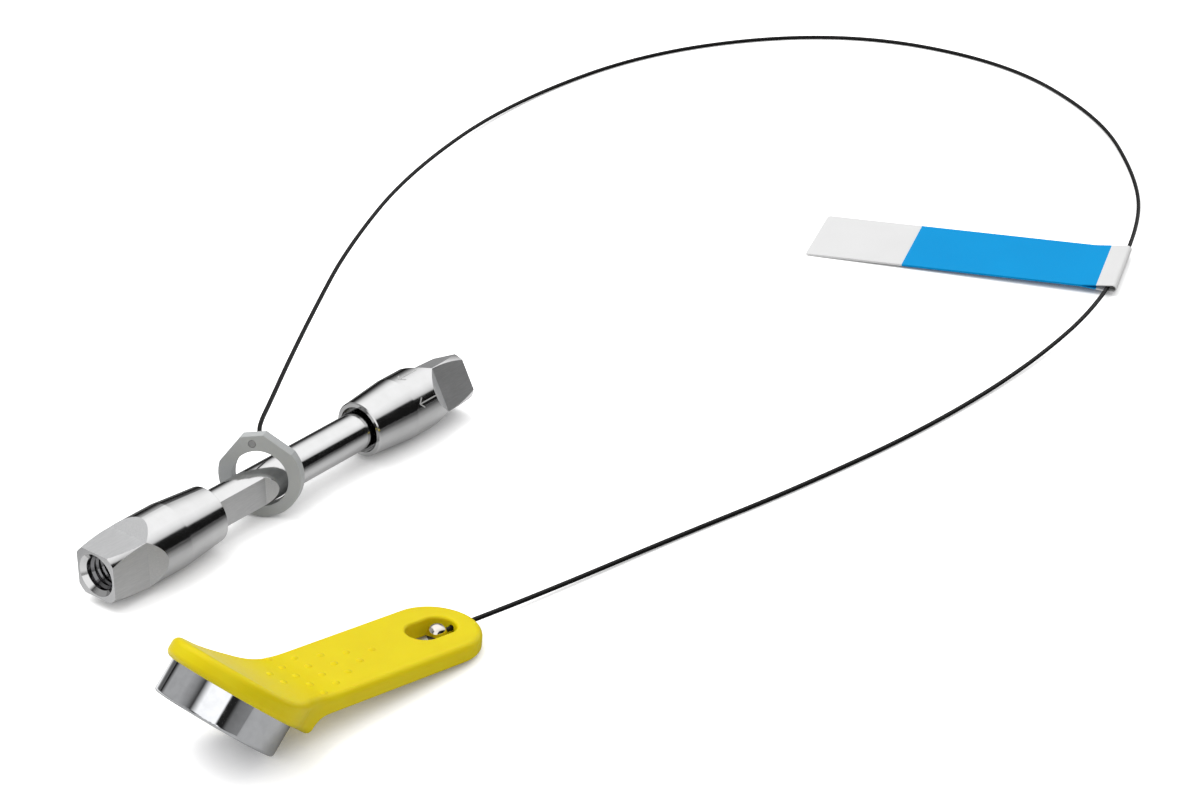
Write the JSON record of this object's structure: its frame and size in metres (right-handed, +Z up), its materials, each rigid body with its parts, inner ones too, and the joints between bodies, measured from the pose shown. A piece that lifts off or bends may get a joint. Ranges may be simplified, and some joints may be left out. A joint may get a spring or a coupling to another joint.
{
  "type": "hplc column",
  "caption": "Short steel chromatography column with female end fittings, and a memory-can key fob and folded label on a thin tether from a captive ring.",
  "frame": {"origin": "start of the outlet port's thread, on the column's axis, 0.64 mm inside its end face", "axes": "+X along the column against the flow, +Z up as the column lies on a table, +Y to the left seen along +X"},
  "size_m": [0.2565, 0.1265, 0.0166],
  "materials": {
    "steel": "fine turned and polished",
    "frit_steel": "porous sintered",
    "seal_polymer": "satin",
    "packing": "powder",
    "ring_plastic": "satin moulded",
    "cord_plastic": "smooth",
    "label_film": "printed film, blue field with white ends",
    "ball_metal": "polished",
    "fob_plastic": "satin moulded",
    "can_steel": "mirror polished"
  },
  "bodies": {
    "column": {"column_tube": "steel", "outlet_end_nut": "steel", "inlet_end_nut": "steel", "outlet_frit": "frit_steel", "inlet_frit": "frit_steel", "outlet_frit_seal": "seal_polymer", "inlet_frit_seal": "seal_polymer", "packed_bed": "packing"},
    "tether": {"captive_ring": "ring_plastic", "cord_stop": "ball_metal", "tether_cord": "cord_plastic", "label_flag": "label_film", "crimp_ball": "ball_metal"},
    "fob": {"fob_body": "fob_plastic", "memory_can": "can_steel"}
  },
  "joints": [
    {"name": "ring_slide", "type": "slide", "parent": "column", "child": "tether", "axis": [1, 0, 0], "range_m": [-0.0075, 0.0159]},
    {"name": "fob_swivel", "type": "hinge", "parent": "tether", "child": "fob", "pos_m": [0.01962, -0.04081, -0.00283], "axis": [-0.9859, 0.1088, 0.1272], "continuous": true}
  ]
}
